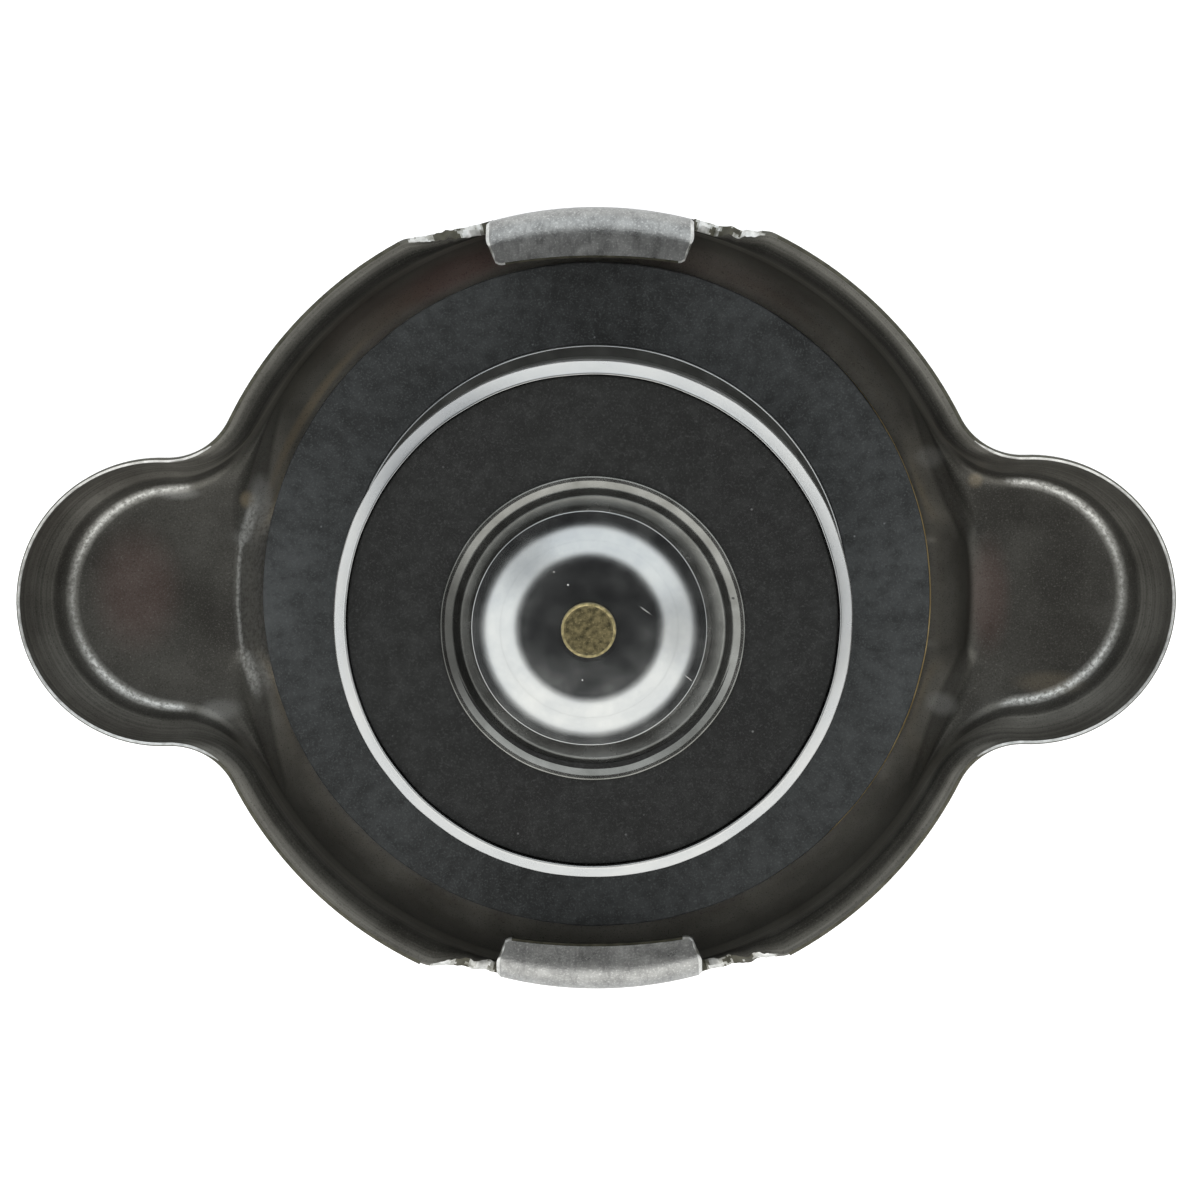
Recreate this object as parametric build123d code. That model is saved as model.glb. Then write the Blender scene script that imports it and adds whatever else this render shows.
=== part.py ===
from build123d import *

import os
from math import cos, radians, sin, sqrt, tan

# Two-eared pressure cap for a coolant filler neck, lying on its crown.
# Millimetres. Z = 0 is the crown's outer face, +Z points into the neck, +X runs along the ears.

# Shell, pressed from one sheet
shell_sheet = 0.85
crown_corner_radius = 26.1      # flat crown out to here
crown_bend = 1.0
skirt_base_radius = 27.2        # inner wall just above the crown
skirt_radius = 27.5             # inner wall where the lip starts to flare
skirt_height = 6.35             # height where the lip starts to flare
lip_flare_radius = 2.6          # inner face of the flare
lip_flare_angle = 70
lip_land = 0.05                 # width of the flat left on the sheet's edge
flare_step = 12.5               # degrees of flare from one level of the loft to the next

# Ears
ear_floor_height = 4.6          # inner face of the floor
ear_centre = 31.4               # of the lip's round end
ear_radius = 10.45
ear_floor_centre = 30.5
ear_floor_radius = 7.9
ear_crease_angle = 45           # the straight wall meets the lip's flare at a crease here
ear_neck_radius = 5.0           # concave corner between body and ear, at the lip

# Locking tabs and the relief cuts beside them
tab_half_width = 7.45
tab_inner_half_width = 7.0
tab_corner = 0.8
tab_edge_reach = 24.8           # from the axis to the middle of the tab's inner edge
tab_edge_radius = 42
tab_hook_height = 9.0           # face that hooks under the neck's flange
tab_bend = 1.05
tab_trim = 2.0                  # stock cut away to the curved inner edge
relief_half_width = 12.9
relief_low_height = 6.9
relief_high_height = 8.35
cutter_reach = 1.0              # how far the cutting shapes pass the metal

# Dimple in the crown that sinks the rivet's head
dimple_radius = 6.2
dimple_floor_radius = 5.2
dimple_depth = 1.3
dimple_bend = 0.5

# Centre rivet and what it clamps
rivet_shank_radius = 2.4
rivet_head_radius = 4.4
rivet_head_thickness = 1.1
rivet_closed_radius = 3.9
rivet_closed_thickness = 1.3
rivet_closed_round = 0.8
washer_thickness = 0.4
thrust_washer_radius = 6.6
spring_disc_gap = 1.5           # from the disc's edge to the crown's inside corner
spring_disc_thickness = 0.35
upper_gasket_setback = 0.25     # how much of the disc shows round the gasket
upper_gasket_thickness = 1.6
gasket_plate_radius = 18.35
gasket_plate_thickness = 0.5
rivet_washer_radius = 5.0
rivet_washer_thickness = 0.6

# Bell that houses the pressure spring
bell_sheet = 0.5
bell_radius = 16.9
bell_bend = 1.2
bell_lip_radius = 17.3
bell_lip_bend = 0.15
bell_height = 11.6

# Pressure valve: cup with folded rim, rubber and seat cup
valve_travel = 3.0
valve_sheet = 0.45
valve_cup_radius = 18.0
valve_rim_height = 3.2          # from the back of the plate to the crest
valve_rim_bend = 0.4
valve_stop_gap = 0.3            # left between bell and plate when the valve is fully open
lower_gasket_thickness = 2.2
lower_gasket_inner_radius = 9.75
lower_gasket_step_thickness = 1.2
seat_sheet = 0.4
seat_flange_radius = 10.6
seat_wall_radius = 9.6          # outer face of the pan's wall
seat_tube_radius = 7.0          # outer face of the tube through the plate
seat_crimp_radius = 7.6
seat_web_depth = 4.0            # from the pan's floor down to the web
seat_window_radius = 1.4
seat_window_circle = 4.5
seat_window_count = 3
seat_offset = 0.5               # the seat cup sits this far off the cap's axis, towards -Y

# Vacuum valve
vacuum_travel = 1.5
vacuum_seal_thickness = 0.5
vacuum_seal_outer = 7.95
vacuum_seal_inner = 7.0
vacuum_sheet = 0.4
vacuum_disc_radius = 8.2
vacuum_shoulder_radius = 7.2
vacuum_crown_radius = 5.45
vacuum_dome_height = 1.75
vacuum_dome_bend = 1.3
stem_shank_radius = 1.1
stem_head_radius = 1.9
stem_head_thickness = 0.5
stem_head_chamfer = 0.16
stem_end_radius = 1.6
stem_end_thickness = 0.5
keeper_radius = 3.6
keeper_thickness = 0.5

# Springs
pressure_wire = 2.0
pressure_coil_gap = 0.8         # between the coil and the bell's wall
pressure_turns = 4.5
vacuum_wire = 0.45
vacuum_coil_gap = 1.3           # between the stem and the coil
vacuum_turns = 4
vacuum_coil_slack = 0.45        # left between the turns when the disc is fully open

# Clearances
rubber_sink = 0.1               # how deep plate and flange press into the rubber
running_clearance = 0.1         # radial, where one piece slides or turns on another
face_clearance = 0.03           # between faces that slide on each other
fit_clearance = 0.05            # between pieces that are clamped together

# Radii that follow the crown
spring_disc_radius = crown_corner_radius - spring_disc_gap
upper_gasket_radius = spring_disc_radius - upper_gasket_setback

# Heights of the stack, from the crown outwards
dimple_top = shell_sheet + dimple_depth
washer_base = dimple_top + face_clearance
disc_base = washer_base + washer_thickness
gasket_base = disc_base + spring_disc_thickness
gasket_top = gasket_base + upper_gasket_thickness
plate_base = gasket_top - rubber_sink
bell_base = plate_base + gasket_plate_thickness
bell_floor = bell_base + bell_sheet
bell_top = bell_base + bell_height
valve_base = bell_top + valve_travel + valve_stop_gap
valve_plate_top = valve_base + valve_sheet
lower_seal_height = valve_plate_top + lower_gasket_thickness
flange_base = lower_seal_height - rubber_sink
pan_floor_base = valve_plate_top + lower_gasket_step_thickness
pan_floor_top = pan_floor_base + seat_sheet
web_base = pan_floor_base - seat_web_depth
vacuum_rim_base = pan_floor_top + vacuum_seal_thickness
vacuum_top = vacuum_rim_base + vacuum_dome_height
vacuum_spring_length = (vacuum_turns + 1) * vacuum_wire + vacuum_travel + vacuum_coil_slack
keeper_top = web_base - vacuum_spring_length


def turned(*corners):
    """A solid turned about Z; each corner of its section is (radius, height, corner radius)."""
    points = [(radius, height) for radius, height, _ in corners]
    outline = FilletPolyline(*points, radius=[corner for *_, corner in corners], close=True)
    return revolve(Plane.XZ * make_face(outline), Axis.Z)


def pressed(sheet, *path):
    """Sheet turned about Z. The path (radius, height, inner bend) is one face, and the sheet's
    thickness lies to the left of it."""
    points = [Vector(radius, height) for radius, height, _ in path]
    near = [(path[0][0], path[0][1], 0.0)]
    first = (points[1] - points[0]).normalized()
    start = points[0] + Vector(-first.Y, first.X) * sheet
    far = [(start.X, start.Y, 0.0)]
    for before, corner, after, (_, _, bend) in zip(points, points[1:], points[2:], path[1:]):
        inward = (corner - before).normalized()
        outward = (after - corner).normalized()
        left_in = Vector(-inward.Y, inward.X)
        left_out = Vector(-outward.Y, outward.X)
        shift = (left_in + left_out) * (sheet / (1 + left_in.dot(left_out)))
        turns_left = inward.cross(outward).Z > 0
        near.append((corner.X, corner.Y, bend + sheet if turns_left else bend))
        moved = corner + shift
        far.append((moved.X, moved.Y, bend if turns_left else bend + sheet))
    last = (points[-1] - points[-2]).normalized()
    end = points[-1] + Vector(-last.Y, last.X) * sheet
    near.append((path[-1][0], path[-1][1], 0.0))
    far.append((end.X, end.Y, 0.0))
    corners = near + far[::-1]
    outline = FilletPolyline(
        *[(x, y) for x, y, _ in corners], radius=[bend for *_, bend in corners], close=True
    )
    return revolve(Plane.XZ * make_face(outline), Axis.Z)


def washer(outer, inner, base, thickness):
    ring = Circle(outer) - Circle(inner)
    return Pos(0, 0, base) * extrude(ring, thickness)


def coil(radius, wire, turns, low, high):
    """A coil spring of round wire between two faces, radius to the wire's centre."""
    rise = high - low - wire - 2 * fit_clearance
    path = Pos(0, 0, low + fit_clearance + wire / 2) * Helix(rise / turns, rise, radius)
    return sweep(Plane(origin=path @ 0, z_dir=path % 0) * Circle(wire / 2), path, is_frenet=True)


def pan_outline(height, body, ear, middle):
    """Outline of the body and its two ears at one height: eight tangent arcs. The ears' round
    ends have the radius ear and lie middle from the axis."""
    neck = ear_neck_radius + ear_radius - ear
    far = body + neck
    x = (far**2 - (ear + neck) ** 2 + middle**2) / (2 * middle)
    y = sqrt(far**2 - x**2)
    centre = Vector(x, y)
    end = Vector(middle, 0)
    on_body = centre * (body / far)
    on_ear = end + (centre - end) * (ear / (ear + neck))
    halfway = centre + ((on_body - centre) + (on_ear - centre)).normalized() * neck

    def mirrored(point, flip_x, flip_y):
        return (point.X * flip_x, point.Y * flip_y)

    tip = middle + ear
    arcs = []
    for side in (1, -1):
        arcs += [
            ThreePointArc(mirrored(on_ear, side, -side), (side * tip, 0), mirrored(on_ear, side, side)),
            ThreePointArc(*[mirrored(p, side, side) for p in (on_ear, halfway, on_body)]),
            ThreePointArc(mirrored(on_body, side, side), (0, side * body), mirrored(on_body, -side, side)),
            ThreePointArc(*[mirrored(p, -side, side) for p in (on_body, halfway, on_ear)]),
        ]
    return Pos(0, 0, height) * Wire([arc.edge() for arc in arcs])


def level_loft(levels):
    return Solid.make_loft([pan_outline(*level) for level in levels], ruled=True)


def flare_point(inset, angle):
    """Radius and height on the lip's flare, where inset is 0 for the inner face."""
    radius = lip_flare_radius - inset
    centre = skirt_radius + lip_flare_radius
    return centre - radius * cos(radians(angle)), skirt_height + radius * sin(radians(angle))


lip_radius, lip_low = flare_point(shell_sheet, lip_flare_angle)
lip_inner_radius, lip_top = flare_point(0, lip_flare_angle)


def lip_level(height, radius):
    """A level on the lip, where the ears' flare has the body's section."""
    return (height, radius, ear_radius - (lip_radius - radius), ear_centre)


def wall_level(height, radius, inset):
    """A level below the ears' crease: their wall runs straight from the floor to the crease."""
    crease_radius, crease_height = flare_point(inset, ear_crease_angle)
    inner_radius, inner_height = flare_point(0, ear_crease_angle)
    rise = inner_height - ear_floor_height
    down = (crease_height - height) / rise
    crease_ear = lip_level(crease_height, crease_radius)[2]
    inner_ear = lip_level(inner_height, inner_radius)[2]
    ear = crease_ear - (inner_ear - ear_floor_radius) * down
    return (height, radius, ear, ear_centre - (ear_centre - ear_floor_centre) * down)


def pan(inset, floor):
    """The dish of body and ears above the ears' floor: inset is 0 for the inner faces and one
    sheet for the outer faces."""
    walls = [
        wall_level(floor, skirt_base_radius + inset, inset),
        wall_level(skirt_height, skirt_radius + inset, inset),
    ]
    for angle in (ear_crease_angle / 3, ear_crease_angle * 2 / 3, ear_crease_angle):
        radius, height = flare_point(inset, angle)
        walls += [wall_level(height, radius, inset)]
    flare = []
    for step in range(round((lip_flare_angle - ear_crease_angle) / flare_step) + 1):
        radius, height = flare_point(inset, ear_crease_angle + step * flare_step)
        flare += [lip_level(height, radius)]
    return level_loft(walls) + level_loft(flare)


def rim_edge():
    """What lies between the outer lip and the inner lip: the sheet's own edge."""
    return level_loft([lip_level(lip_low, lip_radius), lip_level(lip_top, lip_inner_radius + lip_land)])


def crown_well(inset):
    """The round part of the dish between the crown and the ears' floor."""
    base = shell_sheet - inset
    top = ear_floor_height - inset
    bend = crown_bend + inset
    return turned(
        (0, base, 0),
        (crown_corner_radius + bend, base, bend),
        (skirt_base_radius + inset, top, 0),
        (0, top, 0),
    )


def dimple(inset):
    """The dimple that sinks the rivet's head into the crown, as far as one face of the sheet."""
    top = dimple_depth + inset
    return turned(
        (0, inset - dimple_depth, 0),
        (dimple_radius + inset, inset - dimple_depth, 0),
        (dimple_radius + inset, inset, 0),
        (dimple_floor_radius + inset, top, dimple_bend + inset),
        (0, top, 0),
    )


def relief_cuts():
    """Both skirts are sheared away beside the tabs, less deep towards the far ends."""
    low, high, clear = relief_low_height, relief_high_height, lip_top + cutter_reach
    profile = Polyline(
        (-relief_half_width, high),
        (-tab_half_width, low),
        (tab_half_width, low),
        (relief_half_width, high),
        (relief_half_width, clear),
        (-relief_half_width, clear),
        close=True,
    )
    return extrude(Plane.XZ * make_face(profile), lip_radius + cutter_reach, both=True)


def tabs():
    """The two locking tabs: skirt wall carried up and folded inward."""
    outer = skirt_radius + shell_sheet
    top = tab_hook_height + shell_sheet
    start = tab_edge_reach - tab_trim
    fold = pressed(
        shell_sheet,
        (outer, skirt_height, 0),
        (outer, top, tab_bend),
        (start, top, 0),
    )
    plan = Polyline(
        (tab_inner_half_width, start),
        (tab_half_width, outer),
        (tab_half_width, outer + cutter_reach),
        (-tab_half_width, outer + cutter_reach),
        (-tab_half_width, outer),
        (-tab_inner_half_width, start),
        close=True,
    )
    hollow = Pos(0, tab_edge_reach - tab_edge_radius) * Circle(tab_edge_radius)
    blank = make_face(plan) - hollow
    corners = blank.vertices().sort_by(Axis.Y)[:2]
    blank = fillet(corners, tab_corner)
    column = Pos(0, 0, skirt_height) * extrude(blank, top - skirt_height + cutter_reach)
    one = fold & column
    return one + one.rotate(Axis.Z, 180)


def shell():
    """Crown, skirt, ears and tabs, all one pressing."""
    outside = pan(shell_sheet, ear_floor_height - shell_sheet) + rim_edge() + crown_well(shell_sheet)
    mouth = Face(pan_outline(*lip_level(lip_top, lip_inner_radius)))
    inside = pan(0, ear_floor_height) + Solid.extrude(mouth, Vector(0, 0, 1))
    body = outside - inside - (crown_well(0) - dimple(shell_sheet)) - dimple(0)
    hole = Cylinder(rivet_shank_radius + running_clearance, 2 * lip_top)
    return body - relief_cuts() + tabs() - hole


def centre_rivet():
    """Head sunk in the crown's dimple, shank through the stack, closed end inside the bell."""
    head_top = dimple_depth - face_clearance
    closed_base = bell_floor + rivet_washer_thickness
    closed_top = closed_base + rivet_closed_thickness
    return turned(
        (0, head_top - rivet_head_thickness, 0),
        (rivet_head_radius, head_top - rivet_head_thickness, rivet_head_thickness / 2),
        (rivet_head_radius, head_top, 0),
        (rivet_shank_radius, head_top, 0),
        (rivet_shank_radius, closed_base, 0),
        (rivet_closed_radius, closed_base, 0),
        (rivet_closed_radius, closed_top, rivet_closed_round),
        (0, closed_top, 0),
    )


def upper_gasket():
    """Wide rubber ring with the plate pressed into it."""
    hole = rivet_shank_radius + fit_clearance
    ring = washer(upper_gasket_radius, hole, gasket_base, upper_gasket_thickness)
    bed = extrude(Circle(gasket_plate_radius + fit_clearance), upper_gasket_thickness)
    return ring - Pos(0, 0, plate_base) * bed


def bell():
    """Spring housing: closed end on the gasket plate, mouth flared to catch the valve cup."""
    cup = pressed(
        bell_sheet,
        (0, bell_base, 0),
        (bell_radius, bell_base, bell_bend),
        (bell_radius, bell_top - bell_sheet, bell_lip_bend),
        (bell_lip_radius, bell_top - bell_sheet, 0),
    )
    return cup - Cylinder(rivet_shank_radius + fit_clearance, 2 * bell_top)


def valve_cup():
    """Plate that carries the rubber, rim folded back on itself, skirt caught behind the bell's lip."""
    crest = valve_base + valve_rim_height
    inner = valve_cup_radius - 2 * valve_sheet
    skirt_inner = valve_cup_radius - valve_sheet
    curl_top = bell_top - bell_sheet - face_clearance
    curl_inner = bell_radius + running_clearance
    cup = turned(
        (0, valve_base, 0),
        (skirt_inner, valve_base, 0),
        (skirt_inner, curl_top, 0),
        (curl_inner, curl_top, 0),
        (curl_inner, curl_top - valve_sheet, 0),
        (valve_cup_radius, curl_top - valve_sheet, valve_rim_bend),
        (valve_cup_radius, crest, valve_rim_bend),
        (inner, crest, valve_rim_bend),
        (inner, valve_plate_top, 0),
        (0, valve_plate_top, 0),
    )
    return cup - seat_place * Cylinder(seat_tube_radius + fit_clearance, 2 * crest)


def lower_gasket():
    """Rubber ring, thinner inside where the seat cup and its flange press on it."""
    outer = valve_cup_radius - 2 * valve_sheet - fit_clearance
    ring = Pos(0, 0, valve_plate_top) * extrude(Circle(outer), lower_gasket_thickness)
    bed = extrude(Circle(seat_flange_radius + fit_clearance), lower_gasket_thickness)
    step = extrude(Circle(lower_gasket_inner_radius), lower_gasket_thickness)
    bore = Cylinder(seat_tube_radius + fit_clearance, 2 * lower_seal_height)
    return ring - seat_place * (Pos(0, 0, flange_base) * bed + Pos(0, 0, pan_floor_base) * step + bore)


def seat_cup():
    """Flange on the rubber, pan for the vacuum disc, tube through the plate and a web with the
    stem's guide hole and windows; a crimp behind the plate holds it."""
    flange = pressed(
        seat_sheet,
        (seat_tube_radius, pan_floor_base, 0),
        (seat_wall_radius, pan_floor_base, seat_sheet / 2),
        (seat_wall_radius, flange_base, seat_sheet / 2),
        (seat_flange_radius, flange_base, 0),
    )
    tube = pressed(
        seat_sheet,
        (0, web_base, 0),
        (seat_tube_radius, web_base, seat_sheet),
        (seat_tube_radius, pan_floor_top, 0),
    )
    crimp = washer(seat_crimp_radius, seat_tube_radius - seat_sheet, valve_base - seat_sheet, seat_sheet)
    guide = Cylinder(stem_shank_radius + running_clearance, 2 * lower_seal_height)
    cup = flange + tube + crimp - guide
    for place in PolarLocations(seat_window_circle, seat_window_count):
        cup -= place * Pos(0, 0, web_base) * Cylinder(seat_window_radius, 3 * seat_sheet)
    return cup


def vacuum_disc():
    """Domed disc: flat rim on its seal, round shoulder, flat middle."""
    dome = pressed(
        vacuum_sheet,
        (vacuum_disc_radius, vacuum_rim_base + vacuum_sheet, 0),
        (vacuum_shoulder_radius, vacuum_rim_base + vacuum_sheet, vacuum_sheet),
        (vacuum_crown_radius, vacuum_top, vacuum_dome_bend),
        (0, vacuum_top, 0),
    )
    return dome - Cylinder(stem_shank_radius + fit_clearance, 2 * vacuum_top)


def vacuum_stem():
    """Brass rivet through the disc; its far end holds the spring's keeper."""
    head_top = vacuum_top + stem_head_thickness
    keeper_base = keeper_top - keeper_thickness
    return turned(
        (0, keeper_base - stem_end_thickness, 0),
        (stem_end_radius, keeper_base - stem_end_thickness, stem_end_thickness / 2),
        (stem_end_radius, keeper_base, 0),
        (stem_shank_radius, keeper_base, 0),
        (stem_shank_radius, vacuum_top, 0),
        (stem_head_radius, vacuum_top, 0),
        (stem_head_radius, head_top, stem_head_chamfer),
        (0, head_top, 0),
    )


def pressure_spring():
    """Strong coil between the bell's floor and the back of the valve cup."""
    radius = bell_radius - bell_sheet - pressure_coil_gap - pressure_wire / 2
    return coil(radius, pressure_wire, pressure_turns, bell_floor, valve_base)


def vacuum_spring():
    """Light coil round the stem, between its keeper and the seat cup's web."""
    radius = stem_shank_radius + vacuum_coil_gap + vacuum_wire / 2
    return coil(radius, vacuum_wire, vacuum_turns, keeper_top, web_base)


seat_place = Pos(0, -seat_offset)
shank_hole = rivet_shank_radius + fit_clearance
stem_hole = stem_shank_radius + fit_clearance
pieces = {
    "shell": shell(),
    "centre_rivet": centre_rivet(),
    "thrust_washer": washer(thrust_washer_radius, shank_hole, washer_base, washer_thickness),
    "spring_disc": washer(spring_disc_radius, shank_hole, disc_base, spring_disc_thickness),
    "upper_gasket": upper_gasket(),
    "gasket_plate": washer(gasket_plate_radius, shank_hole, plate_base, gasket_plate_thickness),
    "bell": bell(),
    "rivet_washer": washer(rivet_washer_radius, shank_hole, bell_floor, rivet_washer_thickness),
    "pressure_spring": pressure_spring(),
    "valve_cup": valve_cup(),
    "lower_gasket": lower_gasket(),
}
off_axis = {
    "seat_cup": seat_cup(),
    "vacuum_seal": washer(vacuum_seal_outer, vacuum_seal_inner, pan_floor_top, vacuum_seal_thickness),
    "vacuum_spring": vacuum_spring(),
    "vacuum_disc": vacuum_disc(),
    "vacuum_stem": vacuum_stem(),
    "spring_keeper": washer(keeper_radius, stem_hole, keeper_top - keeper_thickness, keeper_thickness),
}
pieces.update({name: seat_place * piece for name, piece in off_axis.items()})

os.makedirs("parts", exist_ok=True)
for name, piece in pieces.items():
    export_step(piece, f"parts/{name}.step")
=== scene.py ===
from math import acos, asin, atan, atan2, cos, degrees, exp, pi, radians, sin, sqrt, tan
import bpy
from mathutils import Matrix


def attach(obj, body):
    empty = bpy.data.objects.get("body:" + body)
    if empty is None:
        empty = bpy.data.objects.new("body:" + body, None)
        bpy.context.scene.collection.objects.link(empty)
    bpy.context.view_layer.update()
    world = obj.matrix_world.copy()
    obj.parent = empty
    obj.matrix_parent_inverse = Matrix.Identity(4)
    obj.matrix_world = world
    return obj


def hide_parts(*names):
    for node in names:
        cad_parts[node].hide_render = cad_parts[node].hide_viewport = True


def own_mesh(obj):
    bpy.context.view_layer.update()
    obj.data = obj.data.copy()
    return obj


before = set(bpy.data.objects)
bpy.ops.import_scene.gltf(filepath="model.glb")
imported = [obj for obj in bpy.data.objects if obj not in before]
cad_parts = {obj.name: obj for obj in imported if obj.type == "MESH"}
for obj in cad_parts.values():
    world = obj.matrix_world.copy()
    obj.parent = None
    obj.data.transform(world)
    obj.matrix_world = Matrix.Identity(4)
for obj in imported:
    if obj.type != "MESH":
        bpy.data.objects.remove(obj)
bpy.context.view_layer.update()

from types import SimpleNamespace
import bmesh
import bpy
from mathutils import Matrix, Vector, noise

mm = 0.001


# ---- shared helpers

def smoothStep(value, low, high):
    t = min(1.0, max(0.0, (value - low) / (high - low)))
    return t * t * (3 - 2 * t)


def mix(a, b, share):
    return a + (b - a) * share


def roundedPath(corners, closed, stepDegrees=10):
    # corners are (radius, height, bend radius); each bend becomes a short run of points
    points = []
    count = len(corners)
    for i, (radius, height, bend) in enumerate(corners):
        here = Vector((radius, height))
        if bend <= 0 or (not closed and i in (0, count - 1)):
            points.append(here)
            continue
        before = (Vector(corners[i - 1][:2]) - here).normalized()
        after = (Vector(corners[(i + 1) % count][:2]) - here).normalized()
        turn = pi - before.angle(after)
        middle = here + (before + after).normalized() * (bend / cos(turn / 2))
        spoke = here + before * (bend * tan(turn / 2)) - middle
        side = 1 if before.x * after.y - before.y * after.x < 0 else -1
        steps = max(2, round(degrees(turn) / stepDegrees))
        for k in range(steps + 1):
            points.append(middle + Matrix.Rotation(side * turn * k / steps, 2) @ spoke)
    return points


def addObject(name, data):
    thing = bpy.data.objects.new(name, data)
    bpy.context.scene.collection.objects.link(thing)
    return thing


def newPiece(name, points, faces, materials, faceMaterials=None, sharpDegrees=38):
    mesh = bpy.data.meshes.new(name)
    mesh.from_pydata([Vector(p) * mm for p in points], [], faces)
    shape = bmesh.new()
    shape.from_mesh(mesh)
    bmesh.ops.recalc_face_normals(shape, faces=shape.faces)
    shape.to_mesh(mesh)
    shape.free()
    mesh.update()
    piece = addObject(name, mesh)
    for material in materials:
        mesh.materials.append(material)
    if faceMaterials:
        mesh.polygons.foreach_set("material_index", faceMaterials)
    mesh.polygons.foreach_set("use_smooth", [True] * len(mesh.polygons))
    mesh.set_sharp_from_angle(angle=radians(sharpDegrees))
    return piece


unevenScale, unevenStart = 0.35, Vector((7.1, 3.3, 1.7))


def turnedPiece(look, materials):
    # a section swept round the axis; a closed section gives a ring, an open one ends on the axis
    closed = look.get("ring", True)
    path = roundedPath(look["section"], closed)
    segments = look.get("segments", 256)
    aside, down = look.get("offAxis", (0.0, 0.0))
    uneven = look.get("uneven", 0.0)
    points, rows = [], []
    for radius, height in path:
        row = []
        if radius < 1e-6:
            row = [len(points)] * segments
            points.append((aside, -down, height))
        else:
            for k in range(segments):
                a = 2 * pi * k / segments
                spot = Vector((cos(a) * radius, sin(a) * radius, height))
                drift = noise.noise(spot * unevenScale + unevenStart) * uneven
                row.append(len(points))
                grow = 1 + drift / radius
                points.append((spot.x * grow + aside, spot.y * grow - down, height + drift * 0.5))
        rows.append(row)
    faces, finish = [], []
    nearest, widest, lowest, highest = look.get("dullZone", (1e9, 0, 0, 0))
    isDull = [nearest <= p.x <= widest and lowest <= p.y <= highest for p in path]
    pairs = [(i, i + 1) for i in range(len(rows) - 1)] + ([(len(rows) - 1, 0)] if closed else [])
    for i, j in pairs:
        lower, upper = rows[i], rows[j]
        for k in range(segments):
            n = (k + 1) % segments
            corners = list(dict.fromkeys((lower[k], lower[n], upper[n], upper[k])))
            if len(corners) > 2:
                faces.append(corners)
                finish.append(int(isDull[i] and isDull[j]))
    return newPiece(look["name"], points, faces, materials, finish)


# ---- shader steps

def startMaterial(name):
    material = bpy.data.materials.new(name)
    material.use_nodes = True
    tree = material.node_tree
    shader = tree.nodes["Principled BSDF"]
    return material, tree, shader, addNode(tree, "TexCoord").outputs["Object"]


def addNode(tree, kind, inputs=None, **settings):
    node = tree.nodes.new("ShaderNode" + kind)
    for key, value in settings.items():
        setattr(node, key, value)
    for key, value in (inputs or {}).items():
        if isinstance(value, bpy.types.NodeSocket):
            tree.links.new(value, node.inputs[key])
        else:
            node.inputs[key].default_value = value
    return node


def calc(tree, operation, *values, clamp=False):
    node = addNode(tree, "Math", dict(enumerate(values)), operation=operation, use_clamp=clamp)
    return node.outputs[0]


def vectorCalc(tree, operation, *values):
    node = addNode(tree, "VectorMath", dict(enumerate(values)), operation=operation)
    return node.outputs["Value" if operation in ("LENGTH", "DOT_PRODUCT") else "Vector"]


def joinAxes(tree, x=0.0, y=0.0, z=0.0):
    return addNode(tree, "CombineXYZ", {0: x, 1: y, 2: z}).outputs[0]


def splitAxes(tree, place):
    return addNode(tree, "SeparateXYZ", {0: place}).outputs


def addNoise(tree, place, scale, detail=4.0, rough=0.55, stretch=None):
    if stretch:
        place = addNode(tree, "Mapping", {"Vector": place, "Scale": stretch}).outputs["Vector"]
    inputs = {"Vector": place, "Scale": scale, "Detail": detail, "Roughness": rough}
    return addNode(tree, "TexNoise", inputs).outputs["Fac"]


def addRamp(tree, value, low, high, fromValue=0.0, toValue=1.0, soft=False):
    inputs = {"Value": value, "From Min": low, "From Max": high, "To Min": fromValue, "To Max": toValue}
    curve = "SMOOTHSTEP" if soft else "LINEAR"
    return addNode(tree, "MapRange", inputs, interpolation_type=curve).outputs["Result"]


def blendColours(tree, share, first, second, clamp=True):
    first, second = [(*tint, 1.0) if isinstance(tint, tuple) else tint for tint in (first, second)]
    inputs = {"Factor": share, 6: first, 7: second}
    return addNode(tree, "Mix", inputs, data_type="RGBA", clamp_factor=clamp).outputs[2]


def addBump(tree, height, strength, distance, after=None):
    inputs = {"Height": height, "Strength": strength, "Distance": distance * mm}
    if after is not None:
        inputs["Normal"] = after
    return addNode(tree, "Bump", inputs).outputs["Normal"]


cloudSpan, roughSpan = (0.35, 0.68), (0.3, 0.7)  # the part of a noise that the tones run over
markDepth = 350  # a mark fades out 3 to 4 mm above and below its place
degreesInRadian = 57.2958
scratchTint, paleTint = (0.12, 0.12, 0.115), (0.9, 0.9, 0.85)


def finishMaterial(tree, shader, look, cloud, colour, bump):
    rough = addRamp(tree, cloud, *roughSpan, *look["rough"])
    for socket, value in (("Base Color", colour), ("Roughness", rough), ("Normal", bump)):
        tree.links.new(value, shader.inputs[socket])


def softSpot(tree, place, spot):
    # a soft spot for stains, scratches, painted highlights and painted reflections: middle x, y, z, half width, half
    # height (mm), strength and turn (degrees)
    x, y, z, wide, tall, strength = spot[:6]
    turn = radians(spot[6]) if len(spot) > 6 else 0.0
    inputs = {"Vector": place, "Location": (x * mm, y * mm, z * mm), "Rotation": (0, 0, turn)}
    centred = addNode(tree, "Mapping", inputs, vector_type="TEXTURE").outputs["Vector"]
    inputs = {"Vector": centred, "Scale": (1000 / wide, 1000 / tall, markDepth)}
    moved = addNode(tree, "Mapping", inputs).outputs["Vector"]
    return addRamp(tree, vectorCalc(tree, "LENGTH", moved), 1.25, 0.4, 0.0, strength, soft=True)


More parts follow.
